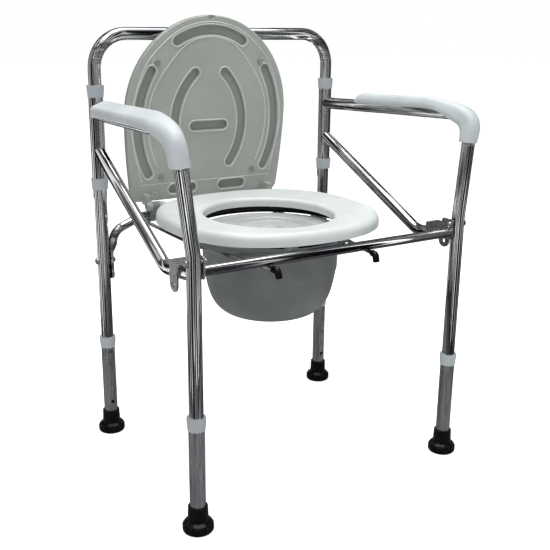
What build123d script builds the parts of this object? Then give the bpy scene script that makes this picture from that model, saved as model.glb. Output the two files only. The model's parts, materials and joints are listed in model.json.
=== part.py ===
from build123d import *
import math
import os

# Commode chair: a chromed folding tube frame with four telescopic legs, two covered armrests, and a
# seat unit of ring seat, lid, pail and pail rails that hooks on between the side frames.
# Millimetres. Origin on the floor under the middle of the legs, +Z up, the sitter faces -Y, +X is
# on the right as seen from the front. All sizes below are of the real object.

# ---- Tubes ----
TUBE_D = 22.0              # hoop, arms and upper legs
TUBE_WALL = 1.5
OUTER_D = 25.0             # sleeves and leg extensions, which run over the main tubes
SLIDE_GAP = 0.3            # radial clearance of a tube inside a sleeve or extension
BRACE_D = 20.0
BAR_D = 16.0               # front crossbar and rear arch
BAR_WALL = 1.5
RAIL_D = 7.0
SEAM = 0.05                # hairline left between parts that are welded or pressed together
RUN_GAP = 0.3              # clearance between parts that move past each other

# ---- Seat height, which the parts that carry the seat follow ----
SEAT_BOTTOM_Z = 428.0
SEAT_OVER_BAR = 6.0        # between the crossbar's top and the seat's lower edge
BAR_Y = -190.0
BAR_Z = SEAT_BOTTOM_Z - SEAT_OVER_BAR - BAR_D / 2
ARCH_DROP = 3.0            # the rear arch lies this much lower than the crossbar
ARCH_Z = BAR_Z - ARCH_DROP

# ---- Frame layout ----
LEG_Y = 194.0              # front and rear legs stand this far from the middle
FRONT_X = 251.0
REAR_X = 240.5
HOOP_TOP_Z = 733.5
HOOP_BEND = 58.0
ARM_REAR_Z = 600.0
ARM_FRONT_Z = 611.0
ARM_FRONT_X = 271.0
ARM_FRONT_Y = 189.0
ARM_BEND = 42.0
KINK_RISE = 22.0           # from this far over the crossbar the front legs lean outwards
KINK_Z = BAR_Z + KINK_RISE
KINK_BEND = 60.0
BRACE_TOP_Z = 538.0
BRACE_BEND_Y = -97.0
BRACE_BEND_DROP = 17.0     # the brace's bend and its front end lie this far under the crossbar
BRACE_BEND_Z = BAR_Z - BRACE_BEND_DROP
BRACE_BEND_X = 248.5
BRACE_FRONT_DROP = 3.0
BRACE_FRONT_Z = BAR_Z - BRACE_FRONT_DROP
BRACE_BEND = 45.0

# ---- Leg extensions, feet and snap clips ----
INNER_END_Z = 72.0         # lower end of the tubes that run inside the extensions
EXT_BOTTOM_Z = 6.0
EXT_TOP_Z = 187.0
HOLE_D = 7.0
HOLE_PITCH = 25.5
HOLE_FIRST_Z = 62.0
HOLE_COUNT = 5
LOCKED_HOLE = 1            # the clips sit in the second hole from the bottom
BUTTON_D = 6.4
BUTTON_PROUD = 2.2
CLIP_STRIP = 0.8
CLIP_WIDTH = 8.0
CLIP_HEIGHT = 34.0
FOOT_FLANGE_D = 49.0
FOOT_FLANGE_H = 15.0
FOOT_NECK_D = 33.0
FOOT_TOP_D = 31.0
FOOT_H = 42.0
FOOT_GROOVES = 10

# ---- Collars and sleeves ----
COLLAR_TOP_D = 29.6
COLLAR_BOTTOM_D = 27.2
COLLAR_H = 20.0
LEG_COLLAR_Z = 171.0
SLEEVE_BOTTOM_Z = 468.0
SLEEVE_TOP_Z = 644.0
SLEEVE_STOP = 15.0         # the rear half of the sleeve reaches this much lower, as a folding stop
LOW_COLLAR_Z = 468.5
HIGH_COLLAR_Z = 628.5

# ---- Rear arch ----
ARCH_SHOULDER_X = 165.0
ARCH_SHOULDER_BEND = 60.0
ARCH_CORNER_DROP = 23.0    # corner, bolt and lower end of the arch, below its straight part
ARCH_CORNER_Z = ARCH_Z - ARCH_CORNER_DROP
ARCH_CORNER_BEND = 30.0
ARCH_FLAT = 5.0            # thickness of the flattened ends
ARCH_FLAT_W = 21.0
ARCH_END_DROP = 109.5
ARCH_END_Z = ARCH_Z - ARCH_END_DROP
ARCH_PRESS = 15.0          # length over which the round tube turns flat
ARCH_BOLT_DROP = 74.0
ARCH_BOLT_Z = ARCH_Z - ARCH_BOLT_DROP
BOLT_D = 6.0
BOLT_HEAD_D = 12.0
BOLT_HEAD_H = 4.0
NUT_D = 10.0
NUT_H = 6.0

# ---- Front crossbar and its hook brackets ----
PLATE = 2.5                # bracket steel
HOOK_REAR_Y = -132.0
HOOK_FRONT_Y = -172.0
HOOK_RISE = 7.5            # top of the bracket's channel over the crossbar's axis
HOOK_TOP_Z = BAR_Z + HOOK_RISE
TONGUE_Y = -152.0
TONGUE_R = 13.0
TONGUE_DROP = 24.0         # centre of the tongue's round end below the crossbar's axis
TONGUE_Z = BAR_Z - TONGUE_DROP
PIN_D = 7.0
BRACKET_BOLT_RISE = 15.0   # bolt over the crossbar's axis
BRACKET_BOLT_Z = BAR_Z + BRACKET_BOLT_RISE

# ---- Seat unit ----
UNIT_X = -28.0             # the seat unit hooks on a little left of the frame's middle
SEAT_A = 183.0             # half width
SEAT_SHIFT = 10.0          # the outline's middle lies this far to the right of the hole's
SEAT_FRONT_Y = -191.0
SEAT_REAR_Y = 165.0
SEAT_POWER = {"front": 2.3, "rear": 2.5}     # squareness of the outline, 2 is an ellipse
SEAT_T = 20.5
SEAT_SKIN = 4.0
SEAT_ROUND = 12.0
HOLE_A = 108.0
HOLE_B = 117.0
HOLE_Y = -31.0
HOLE_ROUND = 7.0
HOLE_WALL_H = 16.0
SEAT_RIBS = 16
PAD_GAP = 0.3              # seat bumpers stand this far off the crossbar
PAD_X = 48.0
PAD_W = 18.0
PAD_L = 11.0
PAD_BACK = 7.0             # from the crossbar's axis back to the bumper's front

# ---- Hinge ----
PIVOT_Y = 175.0
PIVOT_RISE = 4.0           # the pivot's axis over the seat's lower edge
PIVOT_Z = SEAT_BOTTOM_Z + PIVOT_RISE
PIVOT_D = 6.0
PIVOT_GAP = 0.08
EYE_R = 8.0
CLIP_W = 12.0
CLIP_OFF_RAIL = 1.5        # between a hinge clip and the rail beside it
LUG_W = 10.0
LUG_GAP = 0.5
CLIP_RING_R = 12.0

# ---- Lid ----
LID_A = 164.0
LID_TOP_B = 175.0
LID_MID = 158.0            # widest line, from the pivot
LID_BOTTOM = 3.0           # lower edge, from the pivot
LID_BOTTOM_A = 153.0
LID_CORNER = 14.0
LID_T = 12.0
LID_OVER_SEAT = 4.0        # gap that the bumpers keep when the lid is shut
LID_GROOVE = 15.0
LID_GROOVE_DEPTH = 5.0
LID_RIM = 2.4
LID_RIM_DEPTH = 0.9
LID_NOTCH_R = 7.0
LID_PAD_R = 5.0
LID_PAD_TOP_X = 104.0      # bumpers towards the lid's top and towards its hinge
LID_PAD_TOP_L = 252.0
LID_PAD_LOW_X = 96.0
LID_PAD_LOW_L = 48.0

# ---- Pail, its lid and rails ----
PAIL_Y = -37.0
PAIL_WALL = 2.5
PAIL_MOUTH_R = 115.5
PAIL_FLANGE_W = 15.5
PAIL_FLANGE_R = PAIL_MOUTH_R + PAIL_FLANGE_W
PAIL_BOTTOM_R = 62.0
PAIL_HANG = 126.2          # the pail's floor below the rails
PAIL_BELLY_IN = 2.2        # belly, rounding and turn of the wall: in from the mouth, up from the floor
PAIL_BELLY_H = 78.0
PAIL_ROUND_IN = 13.0
PAIL_ROUND_H = 32.0
PAIL_TURN_IN = 29.5
PAIL_TURN_H = 9.0
RAIL_FRONT_Z = BAR_Z - BAR_D / 2 - RAIL_D / 2 - RUN_GAP
RAIL_REAR_Z = ARCH_Z - BAR_D / 2 - RAIL_D / 2 - RUN_GAP
PAIL_BOTTOM_Z = RAIL_FRONT_Z - PAIL_HANG
RAIL_OUT = 0.5             # the rails' outer sides pass the pail's flange by this much
RAIL_TAPER = 35.5          # each rail runs in by this much towards its tip
RAIL_TIP_Y = -204.0
RAIL_BEND_Y = -4.0
RAIL_BEND_X = PAIL_FLANGE_R - RAIL_D / 2 + RAIL_OUT
RAIL_TIP_X = RAIL_BEND_X - RAIL_TAPER
RAIL_BEND = 80.0
HINGE_X = RAIL_BEND_X - RAIL_D / 2 - CLIP_OFF_RAIL - CLIP_W / 2    # middle of each hinge clip
CAP_D = 11.0
CAP_L = 18.0

# ---- Arm covers ----
COVER_START = {"left": 31.0, "right": 106.0}  # along the arm from the rear upright's axis
COVER_HALF_W = 18.0
COVER_TOP = 22.0           # top of the pad over the tube's axis
COVER_OPEN = -1.0          # the pad ends this far below the tube's axis
COVER_ROLL = 21.0          # the pad leans outwards round the tube, degrees
COVER_SLANT = 12.0         # length over which the pad's rear end rises
COVER_SWELL = 60.0         # the nose grows over this length before the bend
COVER_END = 4.0            # length of leg that the nose covers below the bend

SIDES = {"left": -1, "right": 1}
ENDS = {"front": -1, "rear": 1}

tube_bore = TUBE_D - 2 * TUBE_WALL
outer_bore = TUBE_D + 2 * SLIDE_GAP
bar_r = BAR_D / 2
seat_top_z = SEAT_BOTTOM_Z + SEAT_T
locked_z = HOLE_FIRST_Z + LOCKED_HOLE * HOLE_PITCH


def tube(points, bends, outer, bore=0.0):
    """A round tube, or a rod when it has no bore, along straight runs joined by bends."""
    if len(points) == 2:
        path = Line(*points)
    else:
        path = FilletPolyline(*points, radius=bends)
    section = Circle(outer / 2)
    if bore:
        section = section - Circle(bore / 2)
    return sweep(Plane(origin=path @ 0, z_dir=path % 0) * section, path=path)


def upright(x, y, z0, z1, diameter):
    return Pos(x, y, (z0 + z1) / 2) * Cylinder(diameter / 2, z1 - z0)


def across(x0, x1, y, z, diameter):
    """A cylinder along X from x0 to x1."""
    return Pos((x0 + x1) / 2, y, z) * Rot(0, 90, 0) * Cylinder(diameter / 2, abs(x1 - x0))


def block(x0, x1, y0, y1, z0, z1):
    size = Box(abs(x1 - x0), abs(y1 - y0), abs(z1 - z0))
    return Pos((x0 + x1) / 2, (y0 + y1) / 2, (z0 + z1) / 2) * size


def on_side(part, side):
    return part if side > 0 else mirror(part, about=Plane.YZ)


def leg_x(end):
    return FRONT_X if end < 0 else REAR_X


def make_hoop():
    path = [(-REAR_X, LEG_Y, INNER_END_Z), (-REAR_X, LEG_Y, HOOP_TOP_Z),
            (REAR_X, LEG_Y, HOOP_TOP_Z), (REAR_X, LEG_Y, INNER_END_Z)]
    hoop = tube(path, HOOP_BEND, TUBE_D, tube_bore)
    for side in SIDES.values():
        hoop -= across(side * (REAR_X - TUBE_D), side * (REAR_X + TUBE_D), LEG_Y, ARCH_BOLT_Z,
                       BOLT_D + 2 * SEAM)
        hoop -= clip_hole(side * REAR_X, 1)
    return hoop


def clip_hole(x, end):
    """The button hole through the inner tube's wall that faces the chair's middle."""
    reach = TUBE_D
    return Pos(x, end * (LEG_Y - reach / 2), locked_z) * Rot(90, 0, 0) * Cylinder(HOLE_D / 2, reach)


def arm_points():
    """Corners of the arm tube's centre line down to the kink of the front leg."""
    return [(REAR_X, LEG_Y, ARM_REAR_Z), (ARM_FRONT_X, -ARM_FRONT_Y, ARM_FRONT_Z),
            (FRONT_X, -LEG_Y, KINK_Z)]


def make_arm_frame():
    """Arm and front leg in one bent tube, right-hand side."""
    path = arm_points() + [(FRONT_X, -LEG_Y, INNER_END_Z)]
    frame = tube(path, [ARM_BEND, KINK_BEND], TUBE_D, tube_bore)
    frame -= upright(REAR_X, LEG_Y, SLEEVE_BOTTOM_Z, SLEEVE_TOP_Z, OUTER_D + 2 * SEAM)
    frame -= across(FRONT_X - TUBE_D, FRONT_X + TUBE_D, -LEG_Y, BRACKET_BOLT_Z, BOLT_D + 2 * SEAM)
    return frame - clip_hole(FRONT_X, -1)


def make_sleeve():
    z0 = SLEEVE_BOTTOM_Z - SLEEVE_STOP
    sleeve = upright(REAR_X, LEG_Y, z0, SLEEVE_TOP_Z, OUTER_D)
    sleeve -= upright(REAR_X, LEG_Y, z0, SLEEVE_TOP_Z, outer_bore)
    half = block(REAR_X - OUTER_D, REAR_X + OUTER_D, LEG_Y - OUTER_D, LEG_Y, z0, SLEEVE_BOTTOM_Z)
    return sleeve - half


def make_brace():
    path = [(REAR_X, LEG_Y, BRACE_TOP_Z), (BRACE_BEND_X, BRACE_BEND_Y, BRACE_BEND_Z),
            (FRONT_X, -LEG_Y, BRACE_FRONT_Z)]
    brace = tube(path, BRACE_BEND, BRACE_D, BRACE_D - 2 * BAR_WALL)
    brace -= upright(REAR_X, LEG_Y, SLEEVE_BOTTOM_Z, SLEEVE_TOP_Z, OUTER_D + 2 * SEAM)
    return brace - upright(FRONT_X, -LEG_Y, BRACE_FRONT_Z - TUBE_D, KINK_Z - 2, TUBE_D + 2 * SEAM)


def collar(x, y, z, seat_z, bore):
    """A plastic bush on the end of an outer tube: its seat holds that tube up to seat_z."""
    top = z + COLLAR_H
    rim = 3.0
    profile = Polyline((bore / 2, z), (COLLAR_BOTTOM_D / 2, z), (COLLAR_TOP_D / 2, top - rim),
                       (COLLAR_TOP_D / 2, top), (bore / 2, top), (bore / 2, z))
    body = revolve(Plane.XZ * make_face(profile), axis=Axis.Z)
    body = Pos(x, y, 0) * body
    if seat_z > z:
        body -= upright(x, y, z, seat_z + SEAM, OUTER_D + 2 * SEAM)
    return body


def make_sleeve_collars():
    """Lower and upper collar of each sleeve: the lower one rings the sleeve itself."""
    low = collar(REAR_X, LEG_Y, LOW_COLLAR_Z, LOW_COLLAR_Z, OUTER_D + 2 * SEAM)
    high = collar(REAR_X, LEG_Y, HIGH_COLLAR_Z, SLEEVE_TOP_Z, TUBE_D + 2 * SEAM)
    return low, high


def make_extension(end):
    x = leg_x(end)
    y = end * LEG_Y
    tube_out = upright(x, y, EXT_BOTTOM_Z, EXT_TOP_Z, OUTER_D)
    tube_out -= upright(x, y, EXT_BOTTOM_Z, EXT_TOP_Z, outer_bore)
    for i in range(HOLE_COUNT):
        z = HOLE_FIRST_Z + i * HOLE_PITCH
        tube_out -= Pos(x, y - end * OUTER_D / 2, z) * Rot(90, 0, 0) * Cylinder(HOLE_D / 2, OUTER_D)
    return tube_out


def make_foot(end):
    """Rubber ferrule: a flared flange with grip grooves and a neck that takes the tube."""
    seat_r = OUTER_D / 2 + SEAM
    flange_r = FOOT_FLANGE_D / 2
    profile = Polyline((0, 0), (flange_r - 2, 0), (flange_r, 3), (flange_r, FOOT_FLANGE_H - 4),
                       (flange_r - 2.5, FOOT_FLANGE_H), (FOOT_NECK_D / 2, FOOT_FLANGE_H + 3),
                       (FOOT_TOP_D / 2, FOOT_H), (seat_r, FOOT_H), (seat_r, EXT_BOTTOM_Z - SEAM),
                       (0, EXT_BOTTOM_Z - SEAM), (0, 0))
    foot = revolve(Plane.XZ * make_face(profile), axis=Axis.Z)
    groove = Pos(flange_r, 0, FOOT_FLANGE_H / 2 + 1) * Box(2.4, 2.4, FOOT_FLANGE_H - 4)
    for i in range(FOOT_GROOVES):
        foot -= Rot(0, 0, (i + 0.5) * 360 / FOOT_GROOVES) * groove
    return Pos(leg_x(end), end * LEG_Y, 0) * foot


def make_snap_clip(end):
    """Leaf spring bent double inside the inner tube, with a button through the locked hole."""
    inner_r = tube_bore / 2 - 1.0
    reach = OUTER_D / 2 + BUTTON_PROUD
    leaf_y = inner_r - CLIP_STRIP
    span = 2 * leaf_y + CLIP_STRIP
    bend = Pos(0, 0, locked_z + CLIP_HEIGHT) * Box(CLIP_WIDTH, span, CLIP_STRIP)
    leaf = Pos(0, leaf_y, locked_z + CLIP_HEIGHT / 2 - 5) * Box(CLIP_WIDTH, CLIP_STRIP, CLIP_HEIGHT + 10)
    back = Pos(0, -leaf_y, locked_z + CLIP_HEIGHT / 2 - 5) * Box(CLIP_WIDTH, CLIP_STRIP, CLIP_HEIGHT + 10)
    shank = Pos(0, (leaf_y + reach - 1) / 2, locked_z) * Rot(90, 0, 0)
    shank = shank * Cylinder(BUTTON_D / 2, reach - 1 - leaf_y)
    tip = Pos(0, reach - 0.5, locked_z) * Rot(-90, 0, 0) * Cone(BUTTON_D / 2, BUTTON_D / 2 - 1, 1)
    clip = leaf + back + bend + shank + tip
    if end > 0:
        clip = Rot(0, 0, 180) * clip
    return Pos(leg_x(end), end * LEG_Y, 0) * clip


def make_arch():
    """Rear arch between the uprights: a round tube whose ends are pressed flat and bolted."""
    wall_x = REAR_X - TUBE_D / 2 - SEAM
    end_x = wall_x - bar_r
    drop = math.atan2(ARCH_Z - ARCH_CORNER_Z, end_x - ARCH_SHOULDER_X)
    start_z = ARCH_CORNER_Z - ARCH_CORNER_BEND * math.tan((math.pi / 2 - drop) / 2) - 1
    flat_z = start_z - ARCH_PRESS
    path = [(-end_x, LEG_Y, start_z), (-end_x, LEG_Y, ARCH_CORNER_Z),
            (-ARCH_SHOULDER_X, LEG_Y, ARCH_Z), (ARCH_SHOULDER_X, LEG_Y, ARCH_Z),
            (end_x, LEG_Y, ARCH_CORNER_Z), (end_x, LEG_Y, start_z)]
    bends = [ARCH_CORNER_BEND, ARCH_SHOULDER_BEND, ARCH_SHOULDER_BEND, ARCH_CORNER_BEND]
    arch = tube(path, bends, BAR_D, BAR_D - 2 * BAR_WALL)
    flat = Pos(wall_x - ARCH_FLAT / 2, LEG_Y, flat_z) * RectangleRounded(ARCH_FLAT, ARCH_FLAT_W, 2)
    full = Pos(end_x, LEG_Y, start_z) * RectangleRounded(BAR_D, BAR_D, bar_r - 0.05)
    low_z = ARCH_END_Z + ARCH_FLAT_W / 2
    end = loft([flat, full]) + extrude(flat, -(flat_z - low_z))
    end += across(wall_x - ARCH_FLAT, wall_x, LEG_Y, low_z, ARCH_FLAT_W)
    end -= across(0, REAR_X, LEG_Y, ARCH_BOLT_Z, BOLT_D + 2 * SEAM)
    for side in SIDES.values():
        arch += on_side(end, side)
    return arch


def bolt(head_x, end_x, y, z):
    """A dome-headed bolt along X, its head outwards."""
    out = 1 if head_x > end_x else -1
    shank = across(head_x, end_x, y, z, BOLT_D)
    head = across(head_x, head_x + out * BOLT_HEAD_H, y, z, BOLT_HEAD_D)
    head = fillet(head.faces().sort_by(Axis.X)[-1 if out > 0 else 0].edges(), 2.5)
    return shank + head


def cap_nut(face_x, out, y, z):
    """A domed nut that stands off face_x, with the bolt's bore in it."""
    nut = across(face_x, face_x + out * NUT_H, y, z, NUT_D)
    nut = fillet(nut.faces().sort_by(Axis.X)[-1 if out > 0 else 0].edges(), 3.5)
    return nut - across(face_x, face_x + out * (NUT_H - 2), y, z, BOLT_D + 2 * SEAM)


def make_arch_bolts():
    head_x = REAR_X + TUBE_D / 2 + SEAM
    face_x = REAR_X - TUBE_D / 2 - ARCH_FLAT - 2 * SEAM
    screw = bolt(head_x, face_x - (NUT_H - 2) + SEAM, LEG_Y, ARCH_BOLT_Z)
    nut = cap_nut(face_x - SEAM, -1, LEG_Y, ARCH_BOLT_Z)
    return screw, nut


def make_bracket():
    """Hook bracket: an upturned channel over the brace tube, with a round tongue outside."""
    inner = BRACE_BEND_X - BRACE_D / 2 - 0.8
    outer = BRACE_BEND_X + BRACE_D / 2 + 2.4
    top = block(inner - PLATE, outer + PLATE, HOOK_FRONT_Y, HOOK_REAR_Y, HOOK_TOP_Z - PLATE, HOOK_TOP_Z)
    plate_z = BRACKET_BOLT_Z + 8
    low_z = BAR_Z - bar_r - 3
    web = block(inner - PLATE, inner, BAR_Y - bar_r - 1, HOOK_REAR_Y, low_z, HOOK_TOP_Z)
    ear = block(inner - PLATE, inner, BAR_Y - bar_r - 1, HOOK_FRONT_Y, low_z, plate_z)
    web = fillet((web + ear).edges().filter_by(Axis.X), 4)
    tongue = block(outer, outer + PLATE, TONGUE_Y - TONGUE_R, TONGUE_Y + TONGUE_R, TONGUE_Z, HOOK_TOP_Z)
    tongue += across(outer, outer + PLATE, TONGUE_Y, TONGUE_Z, 2 * TONGUE_R)
    tongue -= across(outer, outer + PLATE, TONGUE_Y, TONGUE_Z - 2, PIN_D)
    shell = top + web + tongue
    return shell - across(inner - PLATE, inner, -LEG_Y, BRACKET_BOLT_Z, BOLT_D + 2 * SEAM)


def make_bracket_bolts():
    inner = BRACE_BEND_X - BRACE_D / 2 - 0.8 - PLATE
    screw = bolt(FRONT_X + TUBE_D / 2 + SEAM, inner - (NUT_H - 2), -LEG_Y, BRACKET_BOLT_Z)
    return screw, cap_nut(inner - SEAM, -1, -LEG_Y, BRACKET_BOLT_Z)


def make_crossbar():
    reach = BRACE_BEND_X - BRACE_D / 2 - 0.8 - PLATE - SEAM
    bar = across(-reach, reach, BAR_Y, BAR_Z, BAR_D)
    return bar - across(-reach, reach, BAR_Y, BAR_Z, BAR_D - 2 * BAR_WALL)


def rail_z(y):
    return RAIL_FRONT_Z + (RAIL_REAR_Z - RAIL_FRONT_Z) * (y - RAIL_TIP_Y) / (LEG_Y - RAIL_TIP_Y)


def make_rail(side):
    """Round rod under crossbar and arch, bent towards the middle at the front."""
    end_y = LEG_Y + bar_r + 2
    points = [(side * RAIL_BEND_X, end_y, rail_z(end_y)),
              (side * RAIL_BEND_X, RAIL_BEND_Y, rail_z(RAIL_BEND_Y)),
              (side * RAIL_TIP_X, RAIL_TIP_Y, rail_z(RAIL_TIP_Y))]
    return Pos(UNIT_X, 0, 0) * tube(points, RAIL_BEND, RAIL_D)


def make_rail_cap(side):
    """Black end cap, turned down at its tip."""
    lean = (RAIL_BEND_X - RAIL_TIP_X) / (RAIL_BEND_Y - RAIL_TIP_Y)
    back = 6.0
    points = [(side * (RAIL_TIP_X + lean * back), RAIL_TIP_Y + back, RAIL_FRONT_Z),
              (side * (RAIL_TIP_X - lean * 4), RAIL_TIP_Y - 4, RAIL_FRONT_Z),
              (side * (RAIL_TIP_X - lean * 8), RAIL_TIP_Y - 8, RAIL_FRONT_Z - CAP_L + 6)]
    cap = tube(points, 5.0, CAP_D)
    cap = fillet(cap.edges().sort_by(Axis.Z)[0], 2.5)
    return Pos(UNIT_X, 0, 0) * cap - make_rail(side)


def egg(inset=0.0):
    """The seat's closed outline, between an ellipse and a rectangle by SEAT_POWER."""
    mid = (SEAT_FRONT_Y + SEAT_REAR_Y) / 2
    half_x = SEAT_A - inset
    half_y = (SEAT_REAR_Y - SEAT_FRONT_Y) / 2 - inset
    points = []
    steps = 32
    for i in range(steps):
        t = 2 * math.pi * i / steps
        c = math.cos(t)
        s = math.sin(t)
        power = 2 / SEAT_POWER["rear" if s > 0 else "front"]
        x = SEAT_SHIFT + half_x * math.copysign(abs(c) ** power, c)
        points.append((x, mid + half_y * math.copysign(abs(s) ** power, s)))
    return make_face(Spline(*points, periodic=True))


def make_seat():
    """Ring seat: a shell with rounded edges, open and ribbed underneath, with two hinge arms."""
    solid = extrude(egg(), SEAT_T)
    solid = fillet(solid.edges().group_by(Axis.Z)[-1], SEAT_ROUND)
    hole = Pos(0, HOLE_Y, 0) * extrude(Ellipse(HOLE_A, HOLE_B), SEAT_T)
    ring = solid - hole
    rim = ring.edges().group_by(Axis.Z)[-1].sort_by(Edge.length)[0]
    ring = fillet(rim, HOLE_ROUND)
    channel_h = SEAT_T - SEAT_SKIN
    channel = extrude(egg(SEAT_SKIN + 4), channel_h)
    wall_a = HOLE_A + SEAT_SKIN + 4
    wall_b = HOLE_B + SEAT_SKIN + 4
    channel -= Pos(0, HOLE_Y, 0) * extrude(Ellipse(wall_a, wall_b), channel_h)
    ribs = Part()
    for i in range(SEAT_RIBS):
        turn = Pos(0, HOLE_Y, 0) * Rot(0, 0, (i + 0.5) * 360 / SEAT_RIBS)
        ribs += turn * Pos(150, 0, (channel_h + 8) / 2) * Box(140, 2.5, channel_h - 8)
    ring -= channel - ribs
    lift = SEAT_T - HOLE_WALL_H
    under = Pos(0, HOLE_Y, 0) * extrude(Ellipse(wall_a, wall_b), lift)
    ring -= under
    seat = Pos(0, 0, SEAT_BOTTOM_Z) * ring
    for side in SIDES.values():
        seat += hinge_arm(side)
    return Pos(UNIT_X, 0, 0) * seat


def hinge_arm(side):
    """Arm from the seat's rear edge back to an eye round the pivot pin."""
    outer = HINGE_X - CLIP_W / 2 - LUG_GAP
    x0 = side * (outer - LUG_W)
    x1 = side * outer
    root_y = 118.0
    arm = block(x0, x1, root_y, PIVOT_Y, PIVOT_Z - EYE_R + 2, PIVOT_Z + EYE_R)
    arm += across(x0, x1, PIVOT_Y, PIVOT_Z, 2 * EYE_R)
    return arm - across(x0, x1, PIVOT_Y, PIVOT_Z, PIVOT_D + 2 * PIVOT_GAP)


def make_seat_bumper(side):
    """Block in the seat's channel that bears on the crossbar."""
    x = side * PAD_X
    z0 = BAR_Z + bar_r + PAD_GAP
    y0 = BAR_Y + PAD_BACK
    return Pos(UNIT_X, 0, 0) * block(x - PAD_W / 2, x + PAD_W / 2, y0, y0 + PAD_L, z0,
                                     SEAT_BOTTOM_Z - SEAM)


def make_hinge_clip(side):
    """Plastic clip round the rear arch that carries the pivot pin."""
    x0 = side * (HINGE_X - CLIP_W / 2)
    x1 = side * (HINGE_X + CLIP_W / 2)
    ring = across(x0, x1, LEG_Y, ARCH_Z, 2 * CLIP_RING_R)
    eye = across(x0, x1, PIVOT_Y, PIVOT_Z, 2 * EYE_R)
    tilt = math.degrees(math.atan2(PIVOT_Z - ARCH_Z, PIVOT_Y - LEG_Y))
    length = math.hypot(PIVOT_Z - ARCH_Z, PIVOT_Y - LEG_Y)
    web = Pos((x0 + x1) / 2, (LEG_Y + PIVOT_Y) / 2, (ARCH_Z + PIVOT_Z) / 2) * Rot(tilt, 0, 0)
    web = web * Box(CLIP_W, length, 2 * EYE_R)
    clip = ring + web + eye
    clip -= across(x0, x1, LEG_Y, ARCH_Z, BAR_D + 2 * SEAM)
    clip -= across(x0, x1, PIVOT_Y, PIVOT_Z, PIVOT_D + 2 * SEAM)
    return Pos(UNIT_X, 0, 0) * clip


def make_hinge_pin(side):
    reach = CLIP_W / 2 + LUG_GAP + LUG_W + 1
    return Pos(UNIT_X, 0, 0) * across(side * (HINGE_X - reach), side * (HINGE_X + reach), PIVOT_Y,
                                      PIVOT_Z, PIVOT_D)


def lid_outline():
    """Arched outline in the lid's own plane: x across, y away from the pivot."""
    top = EllipticalCenterArc((0, LID_MID), LID_A, LID_TOP_B, start_angle=0, arc_size=180)
    waist = LID_MID * 0.6
    left = Bezier((-LID_A, LID_MID), (-LID_A, waist), (-LID_BOTTOM_A, LID_BOTTOM))
    right = Bezier((LID_A, LID_MID), (LID_A, waist), (LID_BOTTOM_A, LID_BOTTOM))
    low = Line((-LID_BOTTOM_A, LID_BOTTOM), (LID_BOTTOM_A, LID_BOTTOM))
    face = make_face([top, left, right, low])
    return fillet(face.vertices().group_by(Axis.Y)[0], LID_CORNER)


def lid_grooves():
    """Centre lines of the sunk channels on the lid's underside."""
    lines = [ThreePointArc((-66, 289), (0, 308), (66, 289)), Line((-30, 137), (30, 137))]
    for side in SIDES.values():
        lines.append(ThreePointArc((side * 115, 238), (side * 141, 150), (side * 121, 54)))
        lines.append(ThreePointArc((side * 30, 233), (side * 69, 150), (side * 46, 66)))
        lines.append(Line((side * 32, 22), (side * 72, 22)))
    return lines


def channel_cut(line, width, depth):
    """A round-ended channel of the given width along one centre line."""
    strip = trace(line, width)
    ends = [Pos(*(line @ t)) * Circle(width / 2) for t in (0, 1)]
    return extrude(strip + ends, depth)


def make_lid_flat():
    """The lid laid shut over the pivot at the origin: underside down, front towards -Y."""
    plate = extrude(lid_outline(), LID_T)
    plate = fillet(plate.edges().group_by(Axis.Z)[-1], 4.0)
    plate = chamfer(plate.edges().group_by(Axis.Z)[0], 1.5)
    for line in lid_grooves():
        plate -= channel_cut(line, LID_GROOVE, LID_GROOVE_DEPTH)
        plate -= channel_cut(line, LID_GROOVE + 2 * LID_RIM, LID_RIM_DEPTH)
    notch = Pos(0, LID_MID + LID_TOP_B, 0) * Cylinder(LID_NOTCH_R, 2 * LID_GROOVE_DEPTH)
    plate -= notch
    underside = seat_top_z + LID_OVER_SEAT - PIVOT_Z
    return Pos(0, 0, underside) * Rot(0, 0, 180) * plate


def make_lid_lug(side):
    """Hinge lug under the rear edge of the lid, with an eye round the pivot pin."""
    underside = seat_top_z + LID_OVER_SEAT - PIVOT_Z
    x0 = side * (HINGE_X + CLIP_W / 2 + LUG_GAP)
    x1 = x0 + side * LUG_W
    lug = block(x0, x1, -LID_BOTTOM - 2 * EYE_R, 0, 0, underside - SEAM)
    lug += across(x0, x1, 0, 0, 2 * EYE_R)
    return opened(lug - across(x0, x1, 0, 0, PIVOT_D + 2 * PIVOT_GAP))


def lid_lean():
    """Angle past the vertical at which the lid's back meets the hoop, in degrees."""
    back = seat_top_z + LID_OVER_SEAT - PIVOT_Z + LID_T
    dy = LEG_Y - PIVOT_Y
    dz = HOOP_TOP_Z - PIVOT_Z
    touch = back + TUBE_D / 2 + RUN_GAP
    return math.degrees(math.asin(touch / math.hypot(dy, dz)) - math.atan2(dy, dz))


def opened(part):
    """Swings a part of the shut lid up to its rest against the hoop."""
    return Pos(UNIT_X, PIVOT_Y, PIVOT_Z) * Rot(-(90 - lid_lean()), 0, 0) * part


def make_lid_bumpers():
    height = LID_OVER_SEAT - RUN_GAP
    underside = seat_top_z + LID_OVER_SEAT - PIVOT_Z
    bumpers = []
    for x, reach in ((LID_PAD_TOP_X, LID_PAD_TOP_L), (LID_PAD_LOW_X, LID_PAD_LOW_L)):
        for side in SIDES.values():
            pad = Pos(side * x, -reach, underside - SEAM - height / 2) * Cylinder(LID_PAD_R, height)
            bumpers.append(opened(pad))
    return bumpers


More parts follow.
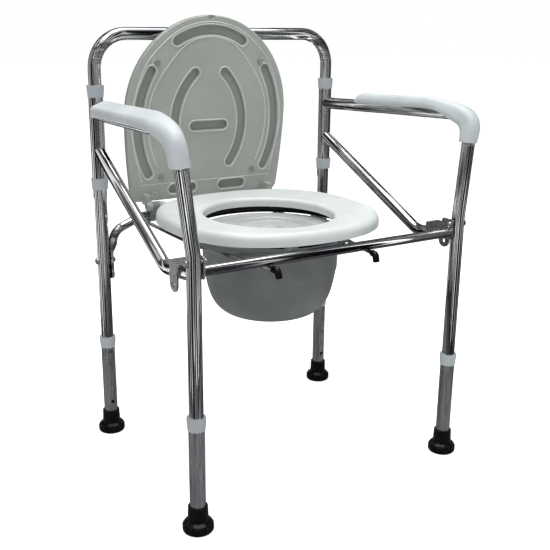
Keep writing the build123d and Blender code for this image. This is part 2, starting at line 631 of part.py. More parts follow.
def make_pail():
    """Round pail with a flat flange that hangs on the rails and a rounded bottom."""
    flange_z = rail_z(PAIL_Y - PAIL_FLANGE_R) + RAIL_D / 2 + RUN_GAP
    base = PAIL_BOTTOM_Z
    belly_r = PAIL_MOUTH_R - PAIL_BELLY_IN
    round_r = PAIL_MOUTH_R - PAIL_ROUND_IN
    turn_r = PAIL_MOUTH_R - PAIL_TURN_IN
    outer = [(0, base), (PAIL_BOTTOM_R, base)]
    curve = Spline((PAIL_BOTTOM_R, base), (turn_r, base + PAIL_TURN_H), (round_r, base + PAIL_ROUND_H),
                   (belly_r, base + PAIL_BELLY_H), (PAIL_MOUTH_R, flange_z),
                   tangents=[(1, 0.1), (0.02, 1)])
    w = PAIL_WALL
    inner = Spline((PAIL_MOUTH_R - w, flange_z + w), (belly_r - w, base + PAIL_BELLY_H),
                   (round_r - w, base + PAIL_ROUND_H + 0.4 * w),
                   (turn_r - 1.4 * w, base + PAIL_TURN_H + 0.8 * w), (PAIL_BOTTOM_R - w, base + w),
                   tangents=[(-0.02, -1), (-1, -0.1)])
    lines = [Polyline(*outer), curve,
             Polyline((PAIL_MOUTH_R, flange_z), (PAIL_FLANGE_R, flange_z),
                      (PAIL_FLANGE_R, flange_z + w), (PAIL_MOUTH_R - w, flange_z + w)),
             inner, Polyline((PAIL_BOTTOM_R - w, base + w), (0, base + w), (0, base))]
    pail = revolve(Plane.XZ * make_face(lines), axis=Axis.Z)
    return Pos(UNIT_X, PAIL_Y, 0) * pail, flange_z + w


def make_pail_lid(seat_z):
    """Loose lid: a dished disc with two raised rings and a grip across the middle."""
    z = seat_z + SEAM
    radius = PAIL_FLANGE_R - 2
    dish_r = PAIL_MOUTH_R - PAIL_WALL - 2
    profile = Polyline((0, z - 3), (dish_r - 2, z - 3), (dish_r, z), (radius, z), (radius, z + 5),
                       (radius - 2, z + 5), (radius - 4, z + 2.5), (dish_r - 2, z + 2.5),
                       (dish_r - 5, z), (70, z), (69, z + 2), (65, z + 2), (64, z), (0, z),
                       (0, z - 3))
    lid = revolve(Plane.XZ * make_face(profile), axis=Axis.Z)
    grip = Pos(0, 0, z + 1) * Box(70, 8, 7)
    grip = fillet(grip.edges().filter_by(Axis.Z), 3.5)
    return Pos(UNIT_X, PAIL_Y, 0) * (lid + grip)


def make_cover(start):
    """Moulded arm cover: a half-round pad over the arm, closed round the front bend and leg top."""
    path = FilletPolyline(*arm_points(), radius=ARM_BEND)
    straight, bend, leg = [edge.length for edge in path.edges()]

    def section(along, roll, inner, outer, up, down, radius):
        """Across the tube: inner towards the sitter, up turns to the front round the bend."""
        frame = Plane(origin=path.position_at(along, position_mode=PositionMode.LENGTH),
                      x_dir=(1, 0, 0), z_dir=path.tangent_at(along, position_mode=PositionMode.LENGTH))
        shape = RectangleRounded(inner + outer, up + down, radius)
        return frame * Rot(0, 0, -roll) * Pos((outer - inner) / 2, (up - down) / 2) * shape

    def pad(along, top, radius):
        return section(along, COVER_ROLL, COVER_HALF_W, COVER_HALF_W, top, COVER_OPEN, radius)

    swell = straight - COVER_SWELL
    tail = [pad(start, 8, 3.4), pad(start + COVER_SLANT / 3, COVER_TOP - 5, 7),
            pad(start + COVER_SLANT, COVER_TOP, 9), pad(swell, COVER_TOP, 9)]
    nose = [pad(swell, COVER_TOP, 9),
            section(swell + 25, 20, 18, 18, 21.5, 1, 9.5),
            section(swell + 40, 19, 17, 18, 20.5, 5, 10.5),
            section(straight, 16, 16, 18, 18, 12, 12),
            section(straight + bend / 2, 9, 13, 16, 21, 14, 13),
            section(straight + bend * 0.9, 3, 12.5, 15, 14.5, 17, 12),
            section(straight + bend + COVER_END, 0, 12.2, 13.5, 12.5, 18, 11.5)]
    cover = loft(tail, ruled=True) + loft(nose)
    return cover - tube(arm_points(), ARM_BEND, TUBE_D + 2 * SEAM)


def save(name, *solids):
    shape = solids[0] if len(solids) == 1 else Compound(children=list(solids))
    export_step(shape, "parts/" + name + ".step")


os.makedirs("parts", exist_ok=True)

save("back_hoop", make_hoop())
save("rear_arch", make_arch())
save("front_crossbar", make_crossbar())

arm_frame = make_arm_frame()
sleeve = make_sleeve()
brace = make_brace()
bracket = make_bracket()
for name, side in SIDES.items():
    save("arm_frame_" + name, on_side(arm_frame, side))
    save("sleeve_" + name, on_side(sleeve, side))
    save("brace_" + name, on_side(brace, side))
    save("hook_bracket_" + name, on_side(bracket, side))
    save("arm_cover_" + name, on_side(make_cover(COVER_START[name]), side))

low_collar, high_collar = make_sleeve_collars()
save("lower_sleeve_collars", *[on_side(low_collar, side) for side in SIDES.values()])
save("upper_sleeve_collars", *[on_side(high_collar, side) for side in SIDES.values()])
for label, pair in (("arch", make_arch_bolts()), ("bracket", make_bracket_bolts())):
    save(label + "_bolts", *[on_side(pair[0], side) for side in SIDES.values()])
    save(label + "_nuts", *[on_side(pair[1], side) for side in SIDES.values()])

for end_name, end in ENDS.items():
    extension = make_extension(end)
    leg_collar = collar(leg_x(end), end * LEG_Y, LEG_COLLAR_Z, EXT_TOP_Z, outer_bore)
    foot = make_foot(end)
    clip = make_snap_clip(end)
    for name, side in SIDES.items():
        corner = end_name + "_" + name
        save("leg_extension_" + corner, on_side(extension, side))
        save("leg_collar_" + corner, on_side(leg_collar, side))
        save("foot_" + corner, on_side(foot, side))
        save("snap_clip_" + corner, on_side(clip, side))

save("pail_rails", *[make_rail(side) for side in SIDES.values()])
save("rail_caps", *[make_rail_cap(side) for side in SIDES.values()])
pail, pail_rim_z = make_pail()
save("pail", pail)
save("pail_lid", make_pail_lid(pail_rim_z))

save("seat", make_seat())
save("seat_bumpers", *[make_seat_bumper(side) for side in SIDES.values()])
save("hinge_clips", *[make_hinge_clip(side) for side in SIDES.values()])
save("hinge_pins", *[make_hinge_pin(side) for side in SIDES.values()])
save("lid", opened(make_lid_flat()))
save("lid_lugs", *[make_lid_lug(side) for side in SIDES.values()])
save("lid_bumpers", *make_lid_bumpers())
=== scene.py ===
import json
import math

import bmesh
import bpy
from mathutils import Matrix, Vector


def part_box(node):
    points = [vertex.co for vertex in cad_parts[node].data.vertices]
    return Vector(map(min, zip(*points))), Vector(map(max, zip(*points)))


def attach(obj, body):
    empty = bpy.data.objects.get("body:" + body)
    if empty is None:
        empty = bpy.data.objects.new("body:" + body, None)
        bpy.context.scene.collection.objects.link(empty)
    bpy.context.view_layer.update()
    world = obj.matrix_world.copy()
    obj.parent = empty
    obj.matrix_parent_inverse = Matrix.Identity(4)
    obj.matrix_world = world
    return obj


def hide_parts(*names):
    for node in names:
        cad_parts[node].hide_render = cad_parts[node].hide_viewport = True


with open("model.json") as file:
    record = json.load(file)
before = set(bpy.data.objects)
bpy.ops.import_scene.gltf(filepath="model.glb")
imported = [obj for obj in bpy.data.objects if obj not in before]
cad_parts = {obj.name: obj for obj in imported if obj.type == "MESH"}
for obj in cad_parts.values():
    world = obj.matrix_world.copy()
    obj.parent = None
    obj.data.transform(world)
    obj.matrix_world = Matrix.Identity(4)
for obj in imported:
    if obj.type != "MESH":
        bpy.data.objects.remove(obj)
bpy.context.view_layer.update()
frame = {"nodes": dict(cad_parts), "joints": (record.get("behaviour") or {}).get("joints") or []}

# The looks of the commode chair: materials for every solid, the fine forms on the lid, the pail's
# lid and a black ring under the seat as painted shade, and a white studio. Metres, but millimetres where
# a comment says so.
CORNERS = [end + "_" + side for end in ("front", "rear") for side in ("left", "right")]


# ---------------------------------------------------------------- materials
class Surface:
    """A Principled material with a small vocabulary of procedural detail."""

    def __init__(self, name):
        self.material = bpy.data.materials.new(name)
        self.material.use_nodes = True
        self.nodes = self.material.node_tree.nodes
        self.links = self.material.node_tree.links
        self.shader = self.nodes["Principled BSDF"]
        self.place = self.nodes.new("ShaderNodeTexCoord").outputs["Object"]

    def stretched(self, scale, turn=(0, 0, 0)):
        mapping = self.nodes.new("ShaderNodeMapping")
        mapping.vector_type = "TEXTURE"
        mapping.inputs["Scale"].default_value = [1 / part for part in scale]
        mapping.inputs["Rotation"].default_value = turn
        self.links.new(self.place, mapping.inputs["Vector"])
        return mapping.outputs["Vector"]

    def noise(self, scale, detail=3.0, rough=0.55, vector=None, distortion=0.0):
        tex = self.nodes.new("ShaderNodeTexNoise")
        tex.inputs["Scale"].default_value = scale
        tex.inputs["Detail"].default_value = detail
        tex.inputs["Roughness"].default_value = rough
        tex.inputs["Distortion"].default_value = distortion
        self.links.new(vector or self.place, tex.inputs["Vector"])
        return tex.outputs["Fac"]

    def height(self, low, high):
        """0 below low and 1 above high, in metres up the object."""
        split = self.nodes.new("ShaderNodeSeparateXYZ")
        self.links.new(self.place, split.inputs["Vector"])
        return self.ramp_value(split.outputs["Z"], low, high)

    def ramp_value(self, value, low, high, out_low=0.0, out_high=1.0):
        ranged = self.nodes.new("ShaderNodeMapRange")
        for key, number in (("From Min", low), ("From Max", high),
                            ("To Min", out_low), ("To Max", out_high)):
            ranged.inputs[key].default_value = number
        self.links.new(value, ranged.inputs["Value"])
        return ranged.outputs["Result"]

    def depth(self, point, normal, low, high):
        """0 at low and 1 at high behind a plane, in metres against its normal."""
        off = self.nodes.new("ShaderNodeVectorMath")
        off.operation = "SUBTRACT"
        off.inputs[1].default_value = point
        self.links.new(self.place, off.inputs[0])
        along = self.nodes.new("ShaderNodeVectorMath")
        along.operation = "DOT_PRODUCT"
        along.inputs[1].default_value = -normal
        self.links.new(off.outputs["Vector"], along.inputs[0])
        return self.ramp_value(along.outputs["Value"], low, high)

    def darken(self, factor, share):
        """Multiplies the base colour down to share where factor is 1."""
        shader_in = self.shader.inputs["Base Color"]
        mix = self.nodes.new("ShaderNodeMix")
        mix.data_type = "RGBA"
        mix.blend_type = "MULTIPLY"
        mix.inputs[7].default_value = (share, share, share, 1)
        self.links.new(factor, mix.inputs["Factor"])
        self.links.new(shader_in.links[0].from_socket, mix.inputs[6])
        self.links.new(mix.outputs[2], shader_in)

    def mix_vectors(self, factor, a, b):
        mix = self.nodes.new("ShaderNodeMix")
        mix.data_type = "VECTOR"
        self.links.new(factor, mix.inputs["Factor"])
        self.links.new(a, mix.inputs[4])
        self.links.new(b, mix.inputs[5])
        return mix.outputs[1]

    def colour(self, value, *stops):
        ramp = self.nodes.new("ShaderNodeValToRGB")
        points = ramp.color_ramp.elements
        while len(points) < len(stops):
            points.new(0.5)
        for point, (at, shade) in zip(points, stops):
            point.position = at
            point.color = (*shade, 1)
        self.links.new(value, ramp.inputs["Fac"])
        self.links.new(ramp.outputs["Color"], self.shader.inputs["Base Color"])

    def rough(self, value, low, high):
        self.links.new(self.ramp_value(value, 0.3, 0.7, low, high), self.shader.inputs["Roughness"])

    def bump(self, value, distance, strength=1.0):
        bump = self.nodes.new("ShaderNodeBump")
        bump.inputs["Distance"].default_value = distance
        bump.inputs["Strength"].default_value = strength
        self.links.new(value, bump.inputs["Height"])
        previous = self.shader.inputs["Normal"]
        if previous.is_linked:
            self.links.new(previous.links[0].from_socket, bump.inputs["Normal"])
        self.links.new(bump.outputs["Normal"], self.shader.inputs["Normal"])

    def set(self, **values):
        for key, value in values.items():
            self.shader.inputs[key.replace("_", " ")].default_value = value
        return self.material


def grey(level, tint=(1.0, 1.0, 1.0)):
    return tuple(level * part for part in tint)


ALONG_X = (0.045, 1, 1)
ALONG_Y = (1, 0.045, 1)
ALONG_Z = (1, 1, 0.045)


def chrome(name, low=ALONG_Z, high=None, bend_z=0.0, turn=(0, 0, 0)):
    """Bright plated tube: painted reflection streaks in its colour and a wavy bump run along it, and
    wander a little.
    """
    s = Surface(name)
    run = s.stretched(low, turn)
    if high:
        run = s.mix_vectors(s.height(bend_z - 0.01, bend_z + 0.01), run, s.stretched(high))
    # Painted reflection: dark and bright streaks in the base colour along the tube.
    grain_and_painted_reflection = s.noise(85, 1.3, 0.5, run, 0.5)
    s.colour(grain_and_painted_reflection, (0.38, grey(0.2, (0.97, 0.99, 1.05))), (0.49, grey(0.5)),
             (0.62, grey(0.9, (1.0, 1.0, 0.99))))
    s.rough(s.noise(60, 4, 0.6, run), 0.03, 0.14)
    s.bump(s.noise(38, 2, 0.5, run, 0.4), 0.0016, 0.3)
    return s.set(Metallic=1.0)


def satin_steel(name, level):
    s = Surface(name)
    run = s.stretched(ALONG_Z)
    grain_and_painted_reflection = s.noise(420, 4, 0.6, run)
    s.colour(grain_and_painted_reflection, (0.35, grey(level * 0.6)), (0.62, grey(level * 1.2)))
    s.rough(s.noise(90, 3, 0.6, run), 0.16, 0.3)
    s.bump(s.noise(500, 3, 0.6, run), 0.0003, 0.4)
    return s.set(Metallic=0.95)


def zinc(name, dark=0.4, light=0.62):
    s = Surface(name)
    s.colour(s.noise(300, 4), (0.35, grey(dark)), (0.65, grey(light, (1.0, 1.0, 0.98))))
    s.rough(s.noise(500, 4), 0.2, 0.42)
    s.bump(s.noise(900, 3), 0.0002, 0.4)
    return s.set(Metallic=1.0)


def plastic(name, dark, light, rough=(0.34, 0.48), grain=800, dents=0.00012, gloss=0.45):
    """Moulded plastic: a faint mottle in the colour, a fine grain and a slow unevenness."""
    return plastic_surface(name, dark, light, rough, grain, dents, gloss).material


def plastic_surface(name, dark, light, rough, grain, dents, gloss):
    s = Surface(name)
    s.colour(s.noise(14, 2, 0.5), (0.35, dark), (0.65, light))
    s.rough(s.noise(40, 1.5, 0.5), *rough)
    s.bump(s.noise(22, 2), 0.0008, 0.25)
    s.bump(s.noise(grain, 2, 0.5), dents, 0.25)
    s.set(Specular_IOR_Level=gloss)
    return s


def clear_plastic(name):
    s = Surface(name)
    s.colour(s.noise(18, 4), (0.35, grey(0.62, (0.97, 1.0, 1.0))), (0.65, grey(0.74, (0.97, 1.0, 1.0))))
    s.rough(s.noise(45, 3), 0.08, 0.2)
    s.bump(s.noise(26, 2), 0.001, 0.4)
    return s.set(Transmission_Weight=0.35, IOR=1.45)


def lid_plastic(name):
    """The lid's warm grey, with painted shade down in its sunk channels."""
    s = plastic_surface(name, (0.385, 0.405, 0.37), (0.42, 0.44, 0.405), (0.38, 0.48), 900, 0.0002, 0.4)
    # Painted shade: the colour darkens the deeper a point lies in the sunk channels.
    s.darken(s.depth(lid_point(0, 0, 0), lid_normal, 0.0004, 0.0035), 0.74)
    return s.material


def rubber(name, dark, light):
    s = Surface(name)
    s.colour(s.noise(60, 5, 0.7), (0.35, dark), (0.7, light))
    s.rough(s.noise(120, 4), 0.16, 0.3)
    s.bump(s.noise(700, 3, 0.6), 0.0002, 0.3)
    return s.set(Specular_IOR_Level=0.2)


def dress(material, *nodes):
    for name in nodes:
        mesh = frame["nodes"][name].data
        mesh.materials.clear()
        mesh.materials.append(material)


# ---------------------------------------------------------------- the lid's own plane
hinge = next(joint for joint in frame["joints"] if joint["name"] == "lid_hinge")
lid_pivot = Vector(hinge["pos_m"])
LID_OVER_SEAT = 0.004      # between the shut lid and the seat
lid_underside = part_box("seat")[1].z + LID_OVER_SEAT - lid_pivot.z
lid_turn = Matrix.Rotation(math.radians(hinge["range_deg"][0]), 3, "X")
lid_normal = lid_turn @ Vector((0, 0, -1))


def lid_point(x, y, proud=0.0):
    """A point on the open lid's underside: x across and y up from the hinge line, in millimetres."""
    flat = Vector((-x / 1000, -y / 1000, lid_underside - proud / 1000))
    return lid_pivot + lid_turn @ flat


# ---------------------------------------------------------------- dress the solids
BEND_REACH = 0.05          # the tubes turn to run level this far below their tops
BRACE_SLOPED = 0.8         # share of the brace's length, front to rear, that slopes
brace_low, brace_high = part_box("brace_left")
brace_tilt = math.atan2(brace_high.z - brace_low.z, BRACE_SLOPED * (brace_high.y - brace_low.y))
hoop_bend_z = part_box("back_hoop")[1].z - BEND_REACH
arm_bend_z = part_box("arm_frame_left")[1].z - BEND_REACH

dress(chrome("chrome_hoop", ALONG_Z, ALONG_X, hoop_bend_z), "back_hoop")
dress(chrome("chrome_arm", ALONG_Z, ALONG_Y, arm_bend_z), "arm_frame_left", "arm_frame_right")
dress(chrome("chrome_bar", ALONG_X), "front_crossbar", "rear_arch")
dress(chrome("chrome_rail", ALONG_Y), "pail_rails")
dress(chrome("chrome_brace", ALONG_Y, turn=(brace_tilt, 0, 0)), "brace_left", "brace_right")
dress(chrome("chrome_sleeve", ALONG_Z), "sleeve_left", "sleeve_right")
dress(zinc("bracket_steel", 0.25, 0.55), "hook_bracket_left", "hook_bracket_right")
dress(satin_steel("satin_leg", 0.56), *["leg_extension_" + c for c in CORNERS])
dress(zinc("zinc"), "arch_bolts", "arch_nuts", "bracket_bolts", "bracket_nuts", "hinge_pins",
      *["snap_clip_" + c for c in CORNERS])
dress(plastic("collar_grey", (0.41, 0.445, 0.46), (0.48, 0.515, 0.53)), "upper_sleeve_collars",
      "lower_sleeve_collars", *["leg_collar_" + c for c in CORNERS])
dress(plastic("clip_grey", (0.17, 0.18, 0.18), (0.23, 0.24, 0.24)), "hinge_clips")
dress(plastic("cover_grey", (0.56, 0.6, 0.61), (0.63, 0.67, 0.68)), "arm_cover_left",
      "arm_cover_right")
dress(plastic("seat_white", (0.66, 0.7, 0.69), (0.72, 0.76, 0.75), (0.36, 0.4), 700, 0.00008),
      "seat")
dress(lid_plastic("lid_grey"), "lid", "lid_lugs")
# The pail's colour is partly its own grey and partly painted shade from under the seat.
dress(plastic("pail_grey", (0.15, 0.158, 0.156), (0.19, 0.198, 0.196), (0.28, 0.4)), "pail")
dress(rubber("bumper_grey", (0.24, 0.26, 0.235), (0.29, 0.31, 0.285)), "seat_bumpers", "lid_bumpers")
rubber_black = rubber("rubber_black", grey(0.0015), grey(0.005))
dress(rubber_black, "rail_caps",
      *["foot_" + c for c in CORNERS])



def smooth(mesh, sharp_from):
    """Smooth shading over edges that turn by less than sharp_from degrees."""
    for face in mesh.polygons:
        face.use_smooth = True
    mesh.set_sharp_from_angle(angle=math.radians(sharp_from))


for node in frame["nodes"].values():
    smooth(node.data, 32)
    flat_first = node.modifiers.new("flat_first", "WEIGHTED_NORMAL")
    flat_first.keep_sharp = True


# ---------------------------------------------------------------- small forms
def piece(name, data, body, material):
    obj = bpy.data.objects.new(name, data)
    bpy.context.scene.collection.objects.link(obj)
    data.materials.append(material)
    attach(obj, body)
    return obj


def round_wire(name, lines, radius, body, material, closed=False):
    """Round beads along lines of points."""
    curve = bpy.data.curves.new(name, "CURVE")
    curve.dimensions = "3D"
    curve.bevel_depth = radius
    curve.bevel_resolution = 2
    curve.use_fill_caps = True
    for points in lines:
        spline = curve.splines.new("POLY")
        spline.points.add(len(points) - 1)
        for target, point in zip(spline.points, points):
            target.co = (*point, 1)
        spline.use_cyclic_u = closed
    return piece(name, curve, body, material)


def arc_through(a, b, c, steps=16):
    """Points on the circle from a over b to c, in the plane."""
    (ax, ay), (bx, by), (cx, cy) = a, b, c
    d = 2 * (ax * (by - cy) + bx * (cy - ay) + cx * (ay - by))
    if abs(d) < 1e-9:
        return [(ax + (cx - ax) * i / steps, ay + (cy - ay) * i / steps) for i in range(steps + 1)]
    a2, b2, c2 = ax * ax + ay * ay, bx * bx + by * by, cx * cx + cy * cy
    ux = (a2 * (by - cy) + b2 * (cy - ay) + c2 * (ay - by)) / d
    uy = (a2 * (cx - bx) + b2 * (ax - cx) + c2 * (bx - ax)) / d
    start, mid, end = [math.atan2(y - uy, x - ux) for x, y in (a, b, c)]
    sweep = (end - start) % math.tau
    if (mid - start) % math.tau > sweep:
        sweep -= math.tau
    r = math.hypot(ax - ux, ay - uy)
    return [(ux + r * math.cos(start + sweep * i / steps), uy + r * math.sin(start + sweep * i / steps))
            for i in range(steps + 1)]


def slot_loop(line, half):
    """Outline of a round-ended slot of that half width round a line."""
    def side(points):
        out = []
        for i, (x, y) in enumerate(points):
            (x0, y0), (x1, y1) = points[max(i - 1, 0)], points[min(i + 1, len(points) - 1)]
            length = math.hypot(x1 - x0, y1 - y0)
            out.append((x + (y1 - y0) / length * half, y - (x1 - x0) / length * half))
        return out

    def cap(points):
        (x0, y0), (x, y) = points[-2], points[-1]
        turn = math.atan2(y - y0, x - x0) - math.pi / 2
        return [(x + half * math.cos(turn + math.pi * i / 8), y + half * math.sin(turn + math.pi * i / 8))
                for i in range(1, 8)]

    back = line[::-1]
    return side(line) + cap(line) + side(back) + cap(back)


# The lid's channels by their middle lines, in millimetres on its underside.
GROOVE_HALF = 10.4         # just outside the stepped edge of a channel
grooves = [arc_through((-66, 289), (0, 308), (66, 289)),
           arc_through((-30, 137), (0, 137), (30, 137), 4)]
for side in (-1, 1):
    grooves.append(arc_through((side * 115, 238), (side * 141, 150), (side * 121, 54)))
    grooves.append(arc_through((side * 30, 233), (side * 69, 150), (side * 46, 66)))
    grooves.append(arc_through((side * 32, 22), (side * 52, 22), (side * 72, 22), 4))
# The beads are lighter than the lid: a painted highlight along the raised rims and lines.
lid_bead_painted_highlight = plastic("lid_bead", (0.56, 0.585, 0.55), (0.64, 0.665, 0.63), (0.26, 0.38), 900, 0.0002)


def lid_beads(name, lines, radius, proud=0.0, closed=False):
    """Thin raised lines on the lid's underside, along lines in millimetres."""
    raised = [[lid_point(x, y, proud) for x, y in line] for line in lines]
    round_wire(name, raised, radius, "lid", lid_bead_painted_highlight, closed)


lid_beads("lid_groove_rims", [slot_loop(line, GROOVE_HALF) for line in grooves], 0.0014, closed=True)


def smooth_line(points, steps=8):
    """A Catmull-Rom line through the points."""
    line = []
    padded = [points[0]] + list(points) + [points[-1]]
    for i in range(1, len(padded) - 2):
        p0, p1, p2, p3 = [Vector(p) for p in padded[i - 1:i + 3]]
        for j in range(steps):
            t = j / steps
            line.append(tuple(0.5 * (2 * p1 + (p2 - p0) * t + (2 * p0 - 5 * p1 + 4 * p2 - p3) * t * t
                                     + (3 * p1 - p0 - 3 * p2 + p3) * t ** 3)))
    return line + [tuple(points[-1])]


def arch(half):
    """A whole arch, left to right, from the points of its right half."""
    return smooth_line([(-x, y) for x, y in half[:0:-1]] + half)


inner_arch = arch([(0, 296), (46, 284), (87, 242), (112, 200), (121, 160), (118, 110), (104, 66)])
outer_arch = arch([(0, 322), (56, 310), (101, 277), (132, 236), (154, 160), (149, 100), (134, 40)])
lid_beads("lid_arch_beads", [inner_arch, outer_arch], 0.0013)
lid_beads("lid_step_line", [[(-135, 34), (135, 34)]], 0.0009, proud=-0.3)


def circle_points(x, y, r, steps=20):
    return [(x + r * math.cos(math.tau * i / steps), y + r * math.sin(math.tau * i / steps))
            for i in range(steps)]


marks = [circle_points(x, y, 5.2) for x in (-108, 108) for y in (14, 253)]
lid_beads("lid_round_marks", marks, 0.0007, proud=-0.1, closed=True)


# ---------------------------------------------------------------- pail lid and painted shade ring
def lathe(name, profile, centre, steps, body, material):
    """A turned body from a closed profile of radius and height, in millimetres from its centre."""
    mesh = bmesh.new()
    rings = []
    for i in range(steps):
        turn = math.tau * i / steps
        ring = []
        for r, z in profile:
            out = Vector((r * math.cos(turn), r * math.sin(turn), z)) / 1000
            ring.append(mesh.verts.new(centre + out))
        rings.append(ring)
    for i in range(steps):
        ring, following = rings[i], rings[(i + 1) % steps]
        for j in range(len(profile) - 1):
            mesh.faces.new((ring[j], following[j], following[j + 1], ring[j + 1]))
    bmesh.ops.remove_doubles(mesh, verts=mesh.verts, dist=1e-7)
    bmesh.ops.recalc_face_normals(mesh, faces=mesh.faces)
    data = bpy.data.meshes.new(name)
    mesh.to_mesh(data)
    mesh.free()
    smooth(data, 35)
    return piece(name, data, body, material)


pail_low, pail_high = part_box("pail")
flange_r = (pail_high.x - pail_low.x) / 2 * 1000
pail_top = (pail_low + pail_high) / 2
pail_top.z = pail_high.z
RIM_H = 12.8               # the lid's rim stands this far over the pail's flange
DISC_H = 11.0              # and the disc inside it this far
rim_r = flange_r - 9
RIDGE_H = 1.8
ridges = []
for r in (20, 60, 88):
    ridges += [(r, DISC_H), (r + 1.5, DISC_H + RIDGE_H), (r + 4, DISC_H + RIDGE_H), (r + 5.5, DISC_H)]
top = [(0, DISC_H), *ridges, (rim_r - 9, DISC_H), (rim_r - 6, RIM_H - 0.4), (rim_r - 3, RIM_H),
       (rim_r, RIM_H - 0.6), (rim_r + 1.5, RIM_H - 2.5), (rim_r + 3, 5), (rim_r + 5, 2.6),
       (flange_r - 2, 2.2), (flange_r - 1.2, 1.2), (flange_r - 1.6, 0.2)]
underside = [(rim_r + 4, 0.4), (rim_r + 1, 3), (rim_r - 1, RIM_H - 3), (rim_r - 3, RIM_H - 2.4),
             (rim_r - 8, DISC_H - 2), (0, DISC_H - 2)]
shell = lathe("pail_lid_shell", top + underside, pail_top, 96, "pail_lid",
              clear_plastic("pail_lid_clear"))
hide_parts("pail_lid")

# A black ring, painted shade under the seat, hangs from the seat's ribs round the pail and its lid, and
# clears them as they lift.
SHADE_RING_WALL = 1.8
SHADE_RING_LOW = 419.5
SHADE_RING_HIGH = 436.0          # up against the ribs
shade_ring_in = flange_r + 2
shade_ring_out = shade_ring_in + SHADE_RING_WALL
shade_ring_section = [(shade_ring_in, SHADE_RING_HIGH), (shade_ring_in, SHADE_RING_LOW), (shade_ring_out, SHADE_RING_LOW), (shade_ring_out, SHADE_RING_HIGH),
                (shade_ring_in, SHADE_RING_HIGH)]
lathe("seat_painted_shade_ring", shade_ring_section, Vector((pail_top.x, pail_top.y, 0)), 96, "seat",
      rubber_black)


# ---------------------------------------------------------------- stage
def stage_plane(name, size, place, look=None, material=None):
    mesh = bpy.data.meshes.new(name)
    w, h = size[0] / 2, size[1] / 2
    mesh.from_pydata([(-w, -h, 0), (w, -h, 0), (w, h, 0), (-w, h, 0)], [], [(0, 1, 2, 3)])
    obj = bpy.data.objects.new(name, mesh)
    bpy.context.scene.collection.objects.link(obj)
    obj.location = place
    if look:
        obj.rotation_euler = (Vector(look) - Vector(place)).to_track_quat("Z", "Y").to_euler()
    mesh.materials.append(material)
    return obj


def flat_material(name, colour, rough=0.9):
    material = bpy.data.materials.new(name)
    material.use_nodes = True
    shader = material.node_tree.nodes["Principled BSDF"]
    shader.inputs["Base Color"].default_value = (*colour, 1)
    shader.inputs["Roughness"].default_value = rough
    shader.inputs["Specular IOR Level"].default_value = 0.1
    return material


def either(tree, one, other):
    """1 where either of two outputs of a node tree is 1."""
    larger = tree.nodes.new("ShaderNodeMath")
    larger.operation = "MAXIMUM"
    tree.links.new(one, larger.inputs[0])
    tree.links.new(other, larger.inputs[1])
    return larger.outputs["Value"]


FLOOR_LIFT = 0.68


def floor_material():
    """A pale floor that the camera sees as white, less the shadow of the chair on it."""
    material = flat_material("floor_white", (0.93, 0.93, 0.93))
    tree = material.node_tree
    shader = tree.nodes["Principled BSDF"]
    shader.inputs["Emission Color"].default_value = (1, 1, 1, 1)
    rays = tree.nodes.new("ShaderNodeLightPath")
    seen = either(tree, rays.outputs["Is Camera Ray"], rays.outputs["Is Glossy Ray"])
    strength = tree.nodes.new("ShaderNodeMath")
    strength.operation = "MULTIPLY"
    strength.inputs[1].default_value = FLOOR_LIFT
    tree.links.new(seen, strength.inputs[0])
    tree.links.new(strength.outputs["Value"], shader.inputs["Emission Strength"])
    return material


stage_plane("floor", (30, 30), (0, 0, 0), material=floor_material())

CAMERA_AZIMUTH = -31.98
FLAG_RING = 0.62           # the cards stand close in, so that every tube mirrors them
FLAG_HEIGHT = 1.5


def only_in_metal(card):
    """Leaves a card to reflections alone."""
    card.visible_camera = False
    card.visible_diffuse = False
    card.visible_shadow = False
    card.visible_transmission = False


def flag(name, azimuth, width, shade):
    """A dark card beside the chair that only the plated tubes see, as a dark line along them."""
    turn = math.radians(CAMERA_AZIMUTH + azimuth)
    place = Vector((math.sin(turn), -math.cos(turn), 0)) * FLAG_RING
    place.z = FLAG_HEIGHT / 2 + 0.002
    card = stage_plane(name, (width, FLAG_HEIGHT), place, Vector((0, 0, place.z)),
                       flat_material(name, shade, 1.0))
    only_in_metal(card)


BLACK = (0.01, 0.011, 0.014)
SLATE = (0.06, 0.063, 0.07)
DUSK = (0.13, 0.133, 0.14)
FLOOR_SHADE = (0.2, 0.205, 0.215)
# Direction from the camera's own in degrees, width in metres and shade, all round the chair.
FLAGS = ((-164, 0.22, BLACK), (-140, 0.24, SLATE), (-112, 0.24, BLACK), (-86, 0.16, DUSK),
         (-64, 0.22, BLACK), (-42, 0.14, SLATE), (-24, 0.16, BLACK), (-4, 0.12, DUSK), (14, 0.18, BLACK),
         (34, 0.16, SLATE), (56, 0.22, BLACK), (80, 0.2, DUSK), (102, 0.2, SLATE), (124, 0.24, BLACK),
         (147, 0.2, SLATE), (170, 0.22, BLACK))
for i, (azimuth, width, shade) in enumerate(FLAGS):
    flag(f"flag_{i}", azimuth, width, shade)
floor_card = stage_plane("flag_floor", (1.5, 1.5), (0, 0, 0.0015),
                         material=flat_material("flag_floor", FLOOR_SHADE, 1.0))
only_in_metal(floor_card)


def area(name, place, size, power, look=(0, 0, 0.4)):
    light = bpy.data.lights.new(name, "AREA")
    light.shape = "SQUARE"
    light.size = size
    light.energy = power
    obj = bpy.data.objects.new(name, light)
    obj.location = place
    obj.rotation_euler = (Vector(place) - Vector(look)).to_track_quat("Z", "Y").to_euler()
    bpy.context.scene.collection.objects.link(obj)


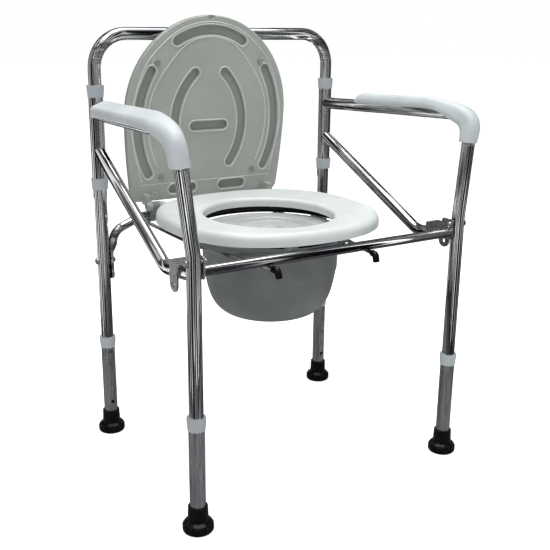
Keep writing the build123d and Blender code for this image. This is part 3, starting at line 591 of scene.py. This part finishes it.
area("key", (-1.1, -1.0, 2.9), 1.4, 34)
area("fill", (1.9, -1.4, 1.6), 1.8, 6)
area("top", (0.2, 0.2, 2.9), 2.0, 50)

def background(tree, colour, strength):
    shader = tree.nodes.new("ShaderNodeBackground")
    shader.inputs["Color"].default_value = (*colour, 1)
    shader.inputs["Strength"].default_value = strength
    return shader.outputs["Background"]


def studio_world():
    """A dim even light, and plain white wherever the background is seen, mirrored or seen through."""
    world = bpy.data.worlds.new("studio")
    world.use_nodes = True
    tree = world.node_tree
    tree.nodes.clear()
    rays = tree.nodes.new("ShaderNodeLightPath")
    seen = either(tree, rays.outputs["Is Camera Ray"], rays.outputs["Is Glossy Ray"])
    seen = either(tree, seen, rays.outputs["Is Transmission Ray"])
    mix = tree.nodes.new("ShaderNodeMixShader")
    tree.links.new(seen, mix.inputs["Fac"])
    tree.links.new(background(tree, (0.95, 0.97, 1.0), 0.36), mix.inputs[1])
    tree.links.new(background(tree, (1, 1, 1), 1.0), mix.inputs[2])
    out = tree.nodes.new("ShaderNodeOutputWorld")
    tree.links.new(mix.outputs["Shader"], out.inputs["Surface"])
    return world


bpy.context.scene.world = studio_world()

# ---------------------------------------------------------------- camera
CAMERA_ELEVATION = 16.68
CAMERA_ROLL = 0.60
CAMERA_PLACE = (-0.7592, -1.2247, 0.7556)
az, el, roll = map(math.radians, (CAMERA_AZIMUTH, CAMERA_ELEVATION, CAMERA_ROLL))
back = Vector((math.sin(az) * math.cos(el), -math.cos(az) * math.cos(el), math.sin(el)))
right = Vector((0, 0, 1)).cross(back).normalized()
up = back.cross(right)
right_rolled = math.cos(roll) * right + math.sin(roll) * up
up_rolled = -math.sin(roll) * right + math.cos(roll) * up
lens = bpy.data.cameras.new("camera")
lens.lens = 55.33
lens.sensor_width = 36.0
camera = bpy.data.objects.new("camera", lens)
camera.matrix_world = Matrix.Translation(CAMERA_PLACE) @ Matrix(
    (right_rolled, up_rolled, back)).transposed().to_4x4()
bpy.context.scene.collection.objects.link(camera)
bpy.context.scene.camera = camera
bpy.context.scene.view_settings.view_transform = "Standard"
